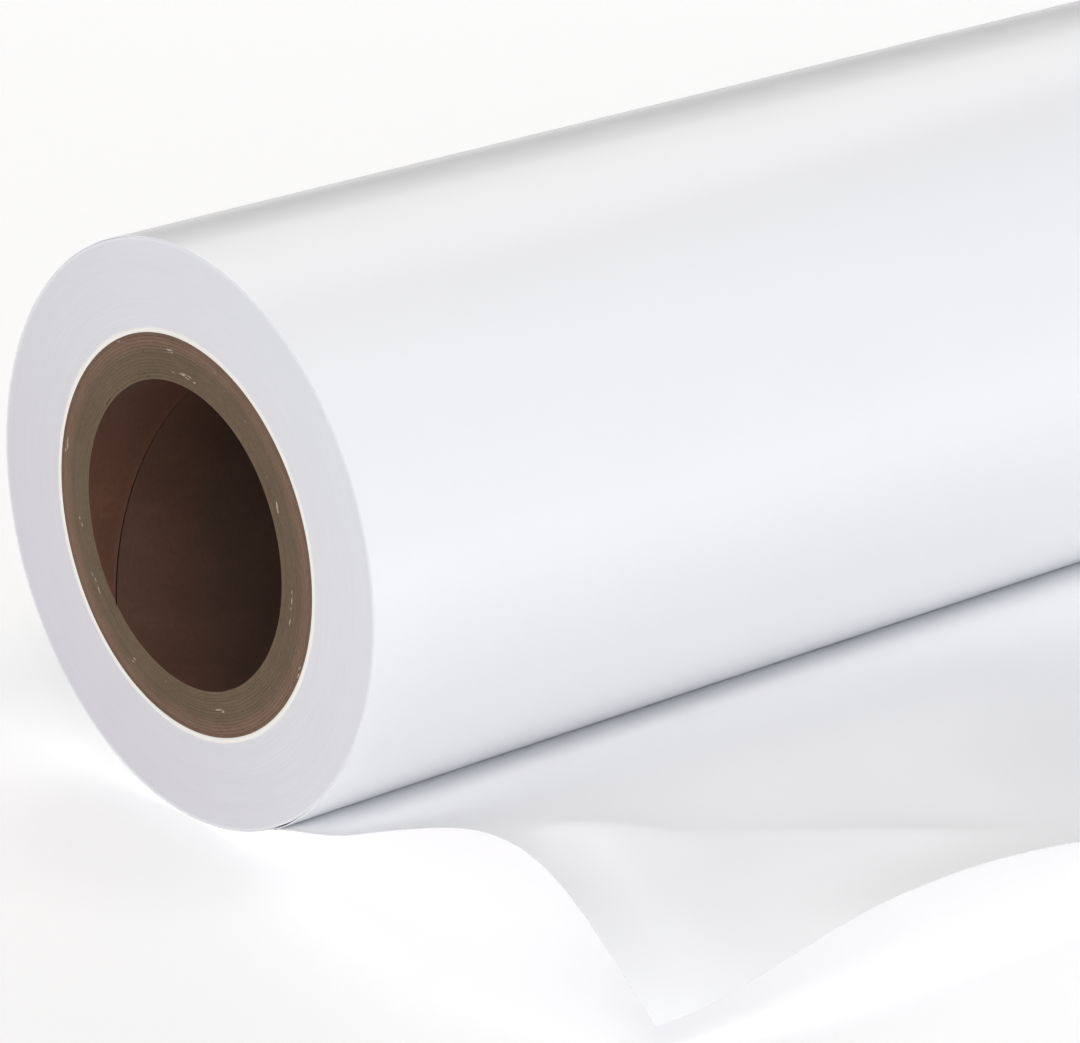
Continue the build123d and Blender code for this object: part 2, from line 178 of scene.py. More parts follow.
class N:
    """Short node building."""

    def __init__(self, nt):
        self.nt = nt

    def node(self, kind, **kw):
        n = self.nt.nodes.new(kind)
        for k, v in kw.items():
            setattr(n, k, v)
        return n

    def link(self, a, b):
        self.nt.links.new(a, b)
        return b

    def put(self, sock, v):
        if hasattr(v, "is_output"):
            self.nt.links.new(v, sock)
        else:
            sock.default_value = v

    def math(self, op, a, b=None, c=None, clamp=False):
        n = self.node("ShaderNodeMath", operation=op, use_clamp=clamp)
        self.put(n.inputs[0], a)
        if b is not None:
            self.put(n.inputs[1], b)
        if c is not None:
            self.put(n.inputs[2], c)
        return n.outputs[0]

    def noise(self, vec, scale, detail=3.0, rough=0.55, dist=0.0, dims="3D", lac=2.0):
        n = self.node("ShaderNodeTexNoise", noise_dimensions=dims)
        self.put(n.inputs["Vector" if dims != "1D" else "W"], vec)
        n.inputs["Scale"].default_value = scale
        n.inputs["Detail"].default_value = detail
        n.inputs["Roughness"].default_value = rough
        n.inputs["Lacunarity"].default_value = lac
        n.inputs["Distortion"].default_value = dist
        return n.outputs[0]

    def ramp(self, fac, stops, interp="LINEAR"):
        n = self.node("ShaderNodeValToRGB")
        n.color_ramp.interpolation = interp
        el = n.color_ramp.elements
        while len(el) < len(stops):
            el.new(0.5)
        for e, (p, c) in zip(el, stops):
            e.position = p
            e.color = (*c, 1) if len(c) == 3 else c
        self.put(n.inputs[0], fac)
        return n.outputs[0]

    def rng(self, v, a, b, c, d, smoothstep=False):
        n = self.node("ShaderNodeMapRange")
        if smoothstep:
            n.interpolation_type = "SMOOTHSTEP"
        self.put(n.inputs[0], v)
        for k, q in zip((1, 2, 3, 4), (a, b, c, d)):
            n.inputs[k].default_value = q
        return n.outputs[0]

    def mix(self, fac, a, b, mode="MIX"):
        n = self.node("ShaderNodeMix", data_type="RGBA", blend_type=mode)
        self.put(n.inputs[0], fac)
        self.put(n.inputs[6], a if hasattr(a, "is_output") else (*a, 1))
        self.put(n.inputs[7], b if hasattr(b, "is_output") else (*b, 1))
        return n.outputs[2]

    def coords(self):
        """Object position, and the cylinder coordinates round the X axis."""
        tc = self.node("ShaderNodeTexCoord")
        sep = self.node("ShaderNodeSeparateXYZ")
        self.link(tc.outputs["Object"], sep.inputs[0])
        x, y, z = sep.outputs
        r = self.math("SQRT", self.math("ADD", self.math("MULTIPLY", y, y), self.math("MULTIPLY", z, z)))
        th = self.math("ARCTAN2", z, y)
        return tc.outputs["Object"], x, y, z, r, th

    def vec(self, x, y, z):
        n = self.node("ShaderNodeCombineXYZ")
        for s, v in zip(n.inputs, (x, y, z)):
            self.put(s, v)
        return n.outputs[0]

    def scale(self, v, s):
        n = self.node("ShaderNodeVectorMath", operation="MULTIPLY")
        self.put(n.inputs[0], v)
        n.inputs[1].default_value = s
        return n.outputs[0]

    def bump(self, height, strength, dist, normal=None):
        n = self.node("ShaderNodeBump")
        n.inputs["Strength"].default_value = strength
        n.inputs["Distance"].default_value = dist
        self.put(n.inputs["Height"], height)
        if normal is not None:
            self.put(n.inputs["Normal"], normal)
        return n.outputs[0]


def film_material():
    """Satin white vinyl: a faint orange-peel, long soft streaks along the winding, hardly any colour."""
    m, nt, p = new_mat("vinyl_film_face")
    b = N(nt)
    pos, x, y, z, r, th = b.coords()
    streak = b.noise(b.scale(pos, (9.0, 3.0, 3.0)), 4.0, 3.0, 0.5)
    cloud = b.noise(pos, 9.0, 2.0, 0.5)
    tone = b.math("ADD", b.math("MULTIPLY", streak, 0.5), b.math("MULTIPLY", cloud, 0.5))
    col = b.ramp(tone, [(0.30, (0.945, 0.947, 0.954)), (0.70, (0.958, 0.959, 0.965))])
    b.link(col, p.inputs["Base Color"])
    b.link(b.rng(b.noise(pos, 60.0, 3.0, 0.6), 0.3, 0.7, 0.30, 0.38), p.inputs["Roughness"])
    peel = b.noise(pos, 900.0, 2.0, 0.5)
    soft = b.noise(b.scale(pos, (1.0, 0.35, 0.35)), 35.0, 2.0, 0.5)
    n1 = b.bump(peel, 0.10, 0.00008)
    n2 = b.bump(soft, 0.25, 0.00025, n1)
    b.link(n2, p.inputs["Normal"])
    p.inputs["Specular IOR Level"].default_value = 0.5
    p.inputs["Coat Weight"].default_value = 0.25
    p.inputs["Coat Roughness"].default_value = 0.16
    return m


def liner_material():
    """Coated release liner: smooth white paper with a soft sheen and faint mottling."""
    m, nt, p = new_mat("release_liner_face")
    b = N(nt)
    pos, x, y, z, r, th = b.coords()
    mott = b.noise(pos, 240.0, 4.0, 0.6)
    cloud = b.noise(pos, 12.0, 2.0, 0.5)
    tone = b.math("ADD", b.math("MULTIPLY", mott, 0.45), b.math("MULTIPLY", cloud, 0.55))
    col = b.ramp(tone, [(0.30, (0.955, 0.955, 0.962)), (0.70, (0.967, 0.966, 0.970))])
    b.link(col, p.inputs["Base Color"])
    b.link(b.rng(b.noise(pos, 150.0, 3.0, 0.6), 0.35, 0.65, 0.33, 0.40, True), p.inputs["Roughness"])
    n1 = b.bump(mott, 0.12, 0.00006)
    n2 = b.bump(b.noise(pos, 28.0, 2.0, 0.5), 0.22, 0.0003, n1)
    b.link(n2, p.inputs["Normal"])
    p.inputs["Specular IOR Level"].default_value = 0.5
    p.inputs["Subsurface Weight"].default_value = 0.0
    return m


def shaded_film_back_material():
    """The film's face seen from under the loose end: the same film as vinyl_film_face, painted darker and a little
    pink as painted shade.
    """
    m, nt, p = new_mat("vinyl_film_under_painted_shade")
    b = N(nt)
    pos, x, y, z, r, th = b.coords()
    # painted shade: darker than the film's top face because it lies in the shade under the loose end
    col = b.ramp(b.noise(pos, 14.0, 2.0, 0.5), [(0.30, (0.80, 0.79, 0.80)), (0.70, (0.83, 0.82, 0.825))])
    b.link(col, p.inputs["Base Color"])
    b.link(b.rng(b.noise(pos, 60.0, 3.0, 0.6), 0.3, 0.7, 0.30, 0.38), p.inputs["Roughness"])
    b.link(b.bump(b.noise(pos, 900.0, 2.0, 0.5), 0.10, 0.00008), p.inputs["Normal"])
    return m


def edge_material():
    """Cut edge of the laminate: clean, bright, slightly fibrous."""
    m, nt, p = new_mat("web_cut_edge")
    b = N(nt)
    pos, x, y, z, r, th = b.coords()
    col = b.ramp(b.noise(pos, 1400.0, 3.0, 0.6), [(0.3, (0.84, 0.84, 0.84)), (0.7, (0.90, 0.90, 0.90))])
    b.link(col, p.inputs["Base Color"])
    p.inputs["Roughness"].default_value = 0.5
    b.link(b.bump(b.noise(pos, 2500.0, 2.0, 0.5), 0.2, 0.00004), p.inputs["Normal"])
    return m


def web_end_material():
    """Cut edges of many turns: very fine rings, a creamy first millimetre at the core."""
    m, nt, p = new_mat("web_end_face")
    b = N(nt)
    pos, x, y, z, r, th = b.coords()
    fine = b.noise(b.vec(b.math("MULTIPLY", r, 1.0), b.math("MULTIPLY", th, 0.0006), 0.0), 4200.0, 2.0, 0.6)
    band = b.noise(b.vec(r, b.math("MULTIPLY", th, 0.002), 0.0), 420.0, 3.0, 0.6)
    cloud = b.noise(pos, 26.0, 2.0, 0.5)
    tone = b.math("ADD", b.math("MULTIPLY", fine, 0.35), b.math("ADD", b.math("MULTIPLY", band, 0.35), b.math("MULTIPLY", cloud, 0.30)))
    # the photo's end face runs from a darker foot to a lighter upper front: most of that is painted shade and painted
    # light, drawn into the colour; lo is the shaded tint, hi the lit one
    lo = b.ramp(tone, [(0.28, (0.643, 0.622, 0.650)), (0.72, (0.690, 0.667, 0.690))])
    hi = b.ramp(tone, [(0.28, (0.740, 0.738, 0.752)), (0.72, (0.794, 0.792, 0.799))])
    painted_light_and_shade = b.rng(b.math("SUBTRACT", b.math("MULTIPLY", z, 0.8), y), -0.09, 0.09, 0.0, 1.0)
    col = b.mix(painted_light_and_shade, lo, hi)
    inner = b.rng(b.math("ADD", r, b.math("MULTIPLY", b.math("SUBTRACT", b.noise(pos, 160.0, 2.0, 0.5), 0.5), 0.0007)),
                  CORE_R + 0.0009, CORE_R + 0.0016, 1.0, 0.0, True)
    col = b.mix(b.math("MULTIPLY", inner, 0.85), col, (0.93, 0.885, 0.80))
    # painted highlight: the outermost millimetre of the end face is painted lighter along the rim
    rim = b.rng(r, OUT_R - 0.0011, OUT_R - 0.0005, 0.0, 1.0, True)
    col = b.mix(b.math("MULTIPLY", rim, 0.6), col, (0.88, 0.88, 0.885))
    b.link(col, p.inputs["Base Color"])
    p.inputs["Roughness"].default_value = 0.52
    n1 = b.bump(fine, 0.22, 0.00004)
    n2 = b.bump(band, 0.30, 0.00010, n1)
    b.link(n2, p.inputs["Normal"])
    return m


def board_material(k):
    """Core board of ply k, seen mostly as a cut end: pressed brown fibres that run round the tube."""
    m, nt, p = new_mat("core_board_%02d" % (k + 1))
    b = N(nt)
    pos, x, y, z, r, th = b.coords()
    t = k / (PLIES - 1)
    olive, red = np.array((0.146, 0.101, 0.063)), np.array((0.196, 0.120, 0.078))
    base = olive + (red - olive) * float(smooth((t - 0.52) / 0.33))
    base = base * (1 + 0.030 * math.sin(k * 2.4) + 0.018 * math.sin(k * 5.1 + 1))
    if k == PLIES - 1:
        base = base * 0.88
    around = b.vec(b.math("MULTIPLY", r, 1.0), b.math("MULTIPLY", th, 0.0110), b.math("MULTIPLY", x, 0.6))
    fibre = b.noise(around, 2600.0, 4.0, 0.65)
    patch = b.noise(pos, 130.0, 3.0, 0.6)
    big = b.noise(pos, 34.0, 2.0, 0.5)
    tone = b.math("ADD", b.math("MULTIPLY", fibre, 0.5), b.math("ADD", b.math("MULTIPLY", patch, 0.28), b.math("MULTIPLY", big, 0.22)))
    dark, light = tuple(base * 0.74), tuple(base * 1.24)
    col = b.ramp(tone, [(0.30, dark), (0.52, tuple(base)), (0.74, light)])
    # a few pale fibres and dark specks
    spots = b.noise(b.vec(r, b.math("MULTIPLY", th, 0.012), b.math("MULTIPLY", x, 1.0)), 1500.0, 2.0, 0.7)
    pale = b.rng(spots, 0.71, 0.78, 0.0, 0.55)
    col = b.mix(pale, col, (0.46, 0.38, 0.29))
    specks = b.rng(b.noise(pos, 1300.0, 2.0, 0.6), 0.335, 0.275, 0.0, 0.75)
    col = b.mix(specks, col, tuple(base * 0.35))
    b.link(col, p.inputs["Base Color"])
    p.inputs["Roughness"].default_value = 0.88
    p.inputs["Specular IOR Level"].default_value = 0.25
    n1 = b.bump(fibre, 0.55, 0.00012)
    n2 = b.bump(patch, 0.30, 0.00020, n1)
    b.link(n2, p.inputs["Normal"])
    return m


SEAM_TURN, SEAM_START = math.radians(3.096) / MM, math.radians(-42.7)      # radians a metre, and at the near end


def bore_material():
    """Lining ply inside the core: smooth dark red-brown kraft with a slightly darker strip past the seam."""
    m, nt, p = new_mat("core_lining")
    b = N(nt)
    pos, x, y, z, r, th = b.coords()
    helix = b.vec(b.math("MULTIPLY", x, 1.0), b.math("MULTIPLY", th, 0.0381), 0.0)
    fib = b.noise(b.scale(helix, (0.6, 0.35, 1.0)), 1500.0, 4.0, 0.62)
    patch = b.noise(pos, 75.0, 4.0, 0.6)
    big = b.noise(pos, 17.0, 2.0, 0.5)
    tone = b.math("ADD", b.math("MULTIPLY", fib, 0.35), b.math("ADD", b.math("MULTIPLY", patch, 0.35), b.math("MULTIPLY", big, 0.30)))
    plain = b.ramp(tone, [(0.32, (0.065, 0.038, 0.026)), (0.52, (0.095, 0.053, 0.035)), (0.70, (0.127, 0.070, 0.046))])
    red = b.ramp(tone, [(0.32, (0.091, 0.040, 0.024)), (0.52, (0.131, 0.054, 0.032)), (0.70, (0.175, 0.074, 0.042))])
    # the strip's two edges meet in a helix: the paper is redder along one of them
    d = b.math("SUBTRACT", th, b.math("ADD", b.math("MULTIPLY", x, SEAM_TURN), SEAM_START - SEAM_TURN * X0))
    side = b.rng(b.math("SINE", d, 0.0), 0.0, 0.012, 0.0, 1.0, True)
    fade = b.rng(b.math("COSINE", d, 0.0), -0.2, 0.75, 0.0, 1.0, True)
    edge = b.math("ADD", b.math("MULTIPLY", b.math("MULTIPLY", side, fade), 0.38), b.math("MULTIPLY", fade, 0.42))
    col = b.mix(edge, plain, red)
    b.link(col, p.inputs["Base Color"])
    p.inputs["Roughness"].default_value = 0.62
    p.inputs["Specular IOR Level"].default_value = 0.35
    n1 = b.bump(fib, 0.4, 0.00008)
    n2 = b.bump(patch, 0.3, 0.0002, n1)
    b.link(n2, p.inputs["Normal"])
    return m


def seam_shade_material():
    m, nt, p = new_mat("core_seam_gap_painted_shade")
    b = N(nt)
    pos, x, y, z, r, th = b.coords()
    # painted shade: the floor of the seam gap is painted nearly black for the shade in the groove
    b.link(b.ramp(b.noise(pos, 900.0, 3.0, 0.6), [(0.3, (0.012, 0.008, 0.006)), (0.7, (0.03, 0.018, 0.013))]), p.inputs["Base Color"])
    p.inputs["Roughness"].default_value = 0.95
    p.inputs["Specular IOR Level"].default_value = 0.1
    return m


def fibre_material():
    m, nt, p = new_mat("torn_board_fibre")
    b = N(nt)
    pos, x, y, z, r, th = b.coords()
    b.link(b.ramp(b.noise(pos, 1800.0, 3.0, 0.6), [(0.3, (0.34, 0.27, 0.20)), (0.7, (0.58, 0.50, 0.40))]), p.inputs["Base Color"])
    p.inputs["Roughness"].default_value = 0.9
    b.link(b.bump(b.noise(pos, 3500.0, 2.0, 0.6), 0.5, 0.00008), p.inputs["Normal"])
    return m


def plain_layer_material(name, lo, hi, rough):
    m, nt, p = new_mat(name)
    b = N(nt)
    pos, x, y, z, r, th = b.coords()
    b.link(b.ramp(b.noise(pos, 300.0, 3.0, 0.6), [(0.3, lo), (0.7, hi)]), p.inputs["Base Color"])
    p.inputs["Roughness"].default_value = rough
    b.link(b.bump(b.noise(pos, 900.0, 2.0, 0.5), 0.15, 0.00005), p.inputs["Normal"])
    return m


FILM, LINER, UNDER_SHADED, EDGE, WEB_END = film_material(), liner_material(), shaded_film_back_material(), edge_material(), web_end_material()
BOARD = [board_material(k) for k in range(PLIES)]
LINING, SEAM_SHADE, FIBRE = bore_material(), seam_shade_material(), fibre_material()
TAPE = plain_layer_material("start_tape_film", (0.62, 0.58, 0.46), (0.70, 0.66, 0.54), 0.35)


# ------------------------------------------------------------------ core plies
def ply_names():
    return ["core_inner_ply"] + ["core_ply_%02d" % k for k in range(2, PLIES)] + ["core_outer_ply"]


def end_relief(k, th, seed):
    """How far ply k's cut end stands out of the end plane, in metres, round the tube."""
    u = th / (2 * math.pi)
    step = (0.012 * math.sin(k * 1.9 + seed) - 0.012) * MM
    slow = 0.022 * MM * wave_noise(u, k * 0.37 + seed, 11 + seed, 7, (1, 5), (0.2, 1.0))
    return step + slow


def ply_ring(k, name, node):
    """One ply: a tube whose cut ends are pressed, slightly uneven fibre with rounded corners."""
    r0, r1 = BORE_R + k * PLY_T, BORE_R + (k + 1) * PLY_T
    g = 0.010 * MM
    n = 720
    th = np.arange(n) * 2 * math.pi / n
    rad = np.linspace(0, 1, 7)
    groove = (0.030 if k < 9 else 0.050) * MM
    prof = []                                  # (x, r, end side, depth behind the end plane)
    bev = 0.05 * MM
    prof.append((X0, r0 + g, -1, groove))
    for q in rad[1:-1]:
        prof.append((X0, r0 + g + bev + (r1 - r0 - 2 * g - 2 * bev) * (q - rad[1]) / (rad[-2] - rad[1]), -1, 0.0))
    prof.append((X0, r1 - g, -1, groove))
    prof.append((X0 + 6 * MM, r1 - g, 0, 0.0))
    prof.append((X1 - 6 * MM, r1 - g, 0, 0.0))
    prof.append((X1, r1 - g, 1, groove))
    for q in rad[-2:0:-1]:
        prof.append((X1, r0 + g + bev + (r1 - r0 - 2 * g - 2 * bev) * (q - rad[1]) / (rad[-2] - rad[1]), 1, 0.0))
    prof.append((X1, r0 + g, 1, groove))
    prof.append((X1 - 6 * MM, r0 + g, 0, 0.0))
    prof.append((X0 + 6 * MM, r0 + g, 0, 0.0))
    rows = []
    r = np.random.default_rng(100 + k)
    for j, (x, rr, side, depth) in enumerate(prof):
        xs = np.full(n, x)
        rs = np.full(n, rr)
        if side:
            rough = r.normal(0, 0.006 * MM, n)
            rough = (rough + np.roll(rough, 1) + np.roll(rough, -1)) / 3 * (1.6 if depth == 0 else 0.8)
            out = end_relief(k, th, 0 if side < 0 else 5) + rough - depth
            xs = xs + side * out
        # a short split between two plies at the near end
        if side <= 0 and k in (0, 1):
            a = np.degrees(np.arctan2(np.sin(th), np.cos(th)))
            slit = np.clip(1 - ((a - 42.0) / 2.6) ** 2, 0, None) ** 0.7
            if k == 0 and abs(rr - (r1 - g)) < 1e-9:
                rs = rs - slit * 0.22 * MM * (1 if side else 0.2)
            if k == 1 and abs(rr - (r0 + g)) < 1e-9:
                rs = rs + slit * 0.20 * MM * (1 if side else 0.2)
        rows.append(np.stack([xs, rs * np.cos(th), rs * np.sin(th)], -1))
    V = np.concatenate(rows)
    o = build(name, V, loop_quads(len(prof), n), [BOARD[k]], None, 50)
    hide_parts(node)
    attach(o, "roll")
    return o


def lining_ply(name, node):
    """The innermost ply, with the gap of its wound strip running round the bore in a helix."""
    g = 0.010 * MM
    r0, r1 = BORE_R, BORE_R + PLY_T - g
    turn, start = SEAM_TURN, SEAM_START
    phi = np.radians(np.concatenate([
        np.array([-6.0, -4.0, -2.5, -1.6, -1.0, -0.72, -0.60, -0.3, 0.0, 0.3, 0.60, 0.72, 1.0, 1.6, 2.5, 4.0, 6.0]),
        np.linspace(8.0, 352.0, 170)]))
    phi = np.sort(np.mod(phi, 2 * math.pi))
    d = np.degrees((phi + math.pi) % (2 * math.pi) - math.pi)
    n = len(phi)
    xs = np.concatenate([X0 + np.array([0.0, 0.06, 0.3, 0.8]) * MM, np.arange(X0 + 1.8 * MM, X1 - 1.5 * MM, 1.6 * MM),
                         X1 - np.array([0.8, 0.3, 0.06, 0.0]) * MM])
    r = np.random.default_rng(5)
    # how the bore's surface departs from a cylinder: the gap, a lip on one side of it, gentle waviness
    gap = np.where(np.abs(d) < 0.62, 0.60 * MM, 0.0)
    lip = np.where(d > 0.65, -0.16 * MM * np.exp(-(d - 0.65) / 2.2), 0.0) * (d < 60)
    inner, outer = [], []
    for x in xs:
        wav = 0.05 * MM * wave_noise(phi / (2 * math.pi), x * 4.0, 21, 9, (1, 7), (0.3, 2.2))
        torn = 1.0 + 0.35 * math.sin(x * 900) + 0.25 * math.sin(x * 2300 + 1)
        rr = r0 + gap * max(0.4, torn) + lip + wav * 0.6 + r.normal(0, 0.004 * MM, n)
        t = start + turn * (x - X0) + phi
        inner.append(np.stack([np.full(n, x), rr * np.cos(t), rr * np.sin(t)], -1))
        a = np.degrees(np.arctan2(np.sin(t), np.cos(t)))
        split = np.clip(1 - ((a - 42.0) / 2.2) ** 2, 0, None) ** 0.7 * 0.30 * MM * max(0.0, 1 - (x - X0) / (4 * MM))
        outer.append(np.stack([np.full(n, x), (r1 - split) * np.cos(t), (r1 - split) * np.sin(t)], -1))
    def cap(x, side):
        rows = []
        t = start + turn * (x - X0) + phi
        for q in (0.12, 0.35, 0.6, 0.85):
            rr = r0 + (r1 - r0) * q
            out = end_relief(0, t, 0 if side < 0 else 5) + r.normal(0, 0.005 * MM, n)
            rows.append(np.stack([x + side * out, rr * np.cos(t), rr * np.sin(t)], -1))
        return rows
    inner[0][:, 0] += 0.05 * MM
    inner[-1][:, 0] -= 0.05 * MM
    outer[0][:, 0] += 0.06 * MM
    outer[-1][:, 0] -= 0.06 * MM
    # profile loop: bore from near to far, far cap outwards, outside from far to near, near cap inwards
    rows = inner + cap(X1, 1) + outer[::-1] + cap(X0, -1)[::-1]
    V = np.concatenate(rows)
    K = len(rows)
    quads = loop_quads(K, n)
    kk = np.repeat(np.arange(K), n)
    jj = np.tile(np.arange(n), K)
    mat = np.full(K * n, 1, dtype=np.int32)            # cut ends and outside: board
    mat[kk < len(inner) - 1] = 0                       # bore
    # the seam gap's faces get the nearly black painted shade
    in_gap = (np.abs(d[jj]) < 0.74) & (np.abs(d[(jj + 1) % n]) < 0.74) & (kk < len(inner) - 1)
    mat[in_gap] = 2
    o = build(name, V, quads, [LINING, BOARD[0], SEAM_SHADE], mat, 45)
    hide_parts(node)
    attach(o, "roll")
    return o


names = ply_names()
lining_ply("lining_ply", names[0])
for k in range(1, PLIES):
    ply_ring(k, "board_ply_%02d" % (k + 1), names[k])


def torn_fibres():
    """Small raised flakes and pulled fibres on the core's cut ends, one mesh."""
    r = np.random.default_rng(31)
    spots = [  # end, angle, radius, length along the ring in mm, how many
        (-1, 86, 45.7, 3.6, 5), (-1, 93, 40.9, 4.6, 6), (-1, 98, 40.6, 2.0, 2), (-1, 152, 40.9, 4.0, 3),
        (-1, -173, 42.2, 5.0, 4), (-1, -108, 42.8, 4.2, 6), (-1, -154, 49.0, 3.0, 4), (-1, -33, 42.8, 3.2, 4),
        (-1, 12, 47.6, 5.0, 3), (-1, -12, 42.6, 2.6, 2), (-1, 60, 48.6, 3.0, 2), (-1, -60, 44.1, 2.2, 2),
        (1, 40, 44.0, 4.0, 5), (1, 130, 41.2, 3.6, 4), (1, 215, 46.5, 4.4, 5), (1, 300, 43.0, 3.2, 4), (1, 350, 48.3, 3.0, 3)]
    V, Q = [], []
    for side, ang, rad, length, count in spots:
        for _ in range(count):
            a0 = math.radians(ang) + r.normal(0, length * 0.35) / rad
            rr = rad + r.normal(0, 0.28)
            ln = length * r.uniform(0.16, 0.48)
            w = r.uniform(0.07, 0.16)
            lift = r.uniform(0.05, 0.16)
            n = 9
            base = len(V)
            bend = r.normal(0, 0.18)
            for i in range(n):
                s = i / (n - 1)
                a = a0 + (s - 0.5) * ln / rad
                rc = rr + bend * (s - 0.5) ** 2 + r.normal(0, 0.018)
                half = w * (0.25 + math.sin(math.pi * min(max(s, 0.05), 0.95)) * r.uniform(0.7, 1.1))
                h = 0.02 + lift * math.sin(math.pi * s) * r.uniform(0.8, 1.15)
                for dr, dh in ((-half, -0.03), (-half * 0.5, h), (half * 0.5, h * 0.85), (half, -0.03)):
                    q = (rc + dr) * MM
                    x = (X0 - (dh) * MM) if side < 0 else (X1 + dh * MM)
                    V.append((x, q * math.cos(a), q * math.sin(a)))
            for i in range(n - 1):
                for j in range(4):
                    p0, p1 = base + i * 4 + j, base + i * 4 + (j + 1) % 4
                    Q.append((p0, p1, p1 + 4, p0 + 4))
            Q.append((base, base + 3, base + 2, base + 1))
            e = base + (n - 1) * 4
            Q.append((e, e + 1, e + 2, e + 3))
    o = build("torn_fibres", np.array(V), np.array(Q), [FIBRE], None, 60)
    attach(o, "roll")


torn_fibres()


# ------------------------------------------------------------------ the wound web
def wound_web():
    n = 720
    th = np.arange(n) * 2 * math.pi / n
    u = th / (2 * math.pi)
    r_in, r_out = CORE_R + 0.01 * MM, OUT_R - WEB_T - 0.05 * MM
    turns = np.arange(r_in, r_out - 0.25 * MM, 0.2 * MM)
    r = np.random.default_rng(77)

    def face(side, seed):
        rows = []
        rs = np.concatenate([[r_in], turns[1:], [r_out - 0.16 * MM, r_out - 0.05 * MM, r_out]])
        q = np.random.default_rng(seed)
        jit = q.normal(0, 1, len(rs))
        slow = np.convolve(q.normal(0, 1, len(rs) + 24), np.ones(25) / 5.0, mode="valid")
        for i, rr in enumerate(rs):
            out = (0.010 * jit[i] + 0.016 * slow[i]) * MM
            out = out + 0.012 * MM * wave_noise(u, rr * 40.0, seed + 3, 6, (1, 4), (0.3, 1.5))
            if i == 0:
                out = out - 0.12 * MM
            if rr < CORE_R + 1.1 * MM and i > 0:
                out = out + 0.07 * MM * math.sin(math.pi * (rr - r_in) / (1.1 * MM))
            if i == len(rs) - 2:
                out = out - 0.03 * MM
            if i == len(rs) - 1:
                out = out - 0.12 * MM
            x = (X0 - out) if side < 0 else (X1 + out)
            rows.append(np.stack([x * np.ones(n), rr * np.cos(th), rr * np.sin(th)], -1))
        return rows

    near, far = face(-1, 201), face(1, 301)
    mid = [np.stack([np.full(n, x), r_out * np.cos(th), r_out * np.sin(th)], -1) for x in np.linspace(X0 + 5 * MM, X1 - 5 * MM, 40)]
    core = [np.stack([np.full(n, x), r_in * np.cos(th), r_in * np.sin(th)], -1) for x in (X1 - 5 * MM, X0 + 5 * MM)]
    rows = near + mid + far[::-1] + core
    K = len(rows)
    mat = np.zeros(K * n, dtype=np.int32)
    kk = np.repeat(np.arange(K), n)
    mat[(kk >= len(near) - 1) & (kk < len(near) + len(mid))] = 1
    o = build("wound_turns", np.concatenate(rows), loop_quads(K, n), [WEB_END, FILM], mat, 40)
    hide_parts("wound_web")
    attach(o, "roll")


wound_web()


# ------------------------------------------------------------------ last turn
def last_turn():
    """The outermost turn, from just above the leaving line round the top and the back to it. psi is
    measured from the bottom towards the front."""
    psi = np.radians(np.concatenate([np.linspace(19.0, 6.0, 18), np.linspace(5.0, -318.0, 324), np.linspace(-319.0, -332.5, 28)]))
    xs = np.unique(np.concatenate([X0 + np.array([0, 0.4, 1.0, 2.5, 5, 8]) * MM, np.linspace(X0 + 12 * MM, X1 - 12 * MM, 74),
                                   X1 - np.array([8, 5, 2.5, 1.0, 0.4, 0]) * MM]))
    P, Xg = np.meshgrid(psi, xs, indexing="ij")
    u = (P / (2 * math.pi))
    wav = 0.018 * MM * (1 + wave_noise(u, (Xg - X0) * 2.2, 41, 9, (1, 4), (0.2, 1.6)) * 0.6)
    wav = np.clip(wav, 0, 0.06 * MM) * smooth((math.radians(8) - P) / math.radians(25))
    # the turn stands off a little near its start, most at the near end
    s = (P + math.radians(332.5)) / math.radians(1)
    loose = 0.36 * MM * smooth(1 - s / 15.0) * (0.35 + 0.65 * np.exp(-(Xg - X0) / 0.07))
    r_out = OUT_R + wav + loose
    r_in = r_out - WEB_T
    def pts(r):
        return np.stack([Xg, -r * np.sin(P), -r * np.cos(P)], -1)
    A, B = pts(r_out), pts(r_in)
    nP, nX = A.shape[:2]
    V = np.concatenate([A.reshape(-1, 3), B.reshape(-1, 3)])
    off = nP * nX
    qs, mats = [], []
    g = loop_quads(nP, nX, False, False)
    qs.append(g); mats.append(np.zeros(len(g)))
    qs.append(g[:, ::-1] + off); mats.append(np.ones(len(g)))
    rim = [i * nX for i in range(nP)]
    def strip(ids):
        ids = np.array(ids)
        return np.stack([ids[:-1], ids[:-1] + off, ids[1:] + off, ids[1:]], -1)
    ring = [i * nX for i in range(nP)] + [(nP - 1) * nX + j for j in range(1, nX)] + [i * nX + nX - 1 for i in range(nP - 2, -1, -1)] + [j for j in range(nX - 2, -1, -1)]
    st = strip(ring)
    qs.append(st); mats.append(np.full(len(st), 2))
    quads = np.concatenate(qs)
    o = build("last_turn", V, quads, [FILM, LINER, EDGE], np.concatenate(mats).astype(int), None)
    me = o.data
    # the rim faces are flat to keep the cut edge crisp
    fix_rim(me, len(quads) - len(st))
    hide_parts("wrap_film", "wrap_adhesive", "wrap_liner")
    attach(o, "web_end")


def fix_rim(me, first):
    flags = np.ones(len(me.polygons), dtype=bool)
    flags[first:] = False
    me.polygons.foreach_set("use_smooth", flags)
    me.set_sharp_from_angle(angle=math.radians(50))
    me.update()


last_turn()


# ------------------------------------------------------------------ the loose end
# the soft fold: distance from the near end, then distance along the web past the fold line at the roll, mm
FOLD = [(0, 78.0), (6, 79.0), (12.7, 83.0), (20, 89.0), (38, 98.0), (50.8, 101.5), (63.5, 105.0), (76.2, 108.5), (92, 113.0), (110, 119.0), (140, 129.0)]
FOLD_RISE, FOLD_SOFT, FOLD_BACK, FOLD_FRONT = 3.7 * MM, 1.8 * MM, 11.0 * MM, 17.0 * MM


CLING = math.radians(26.3)


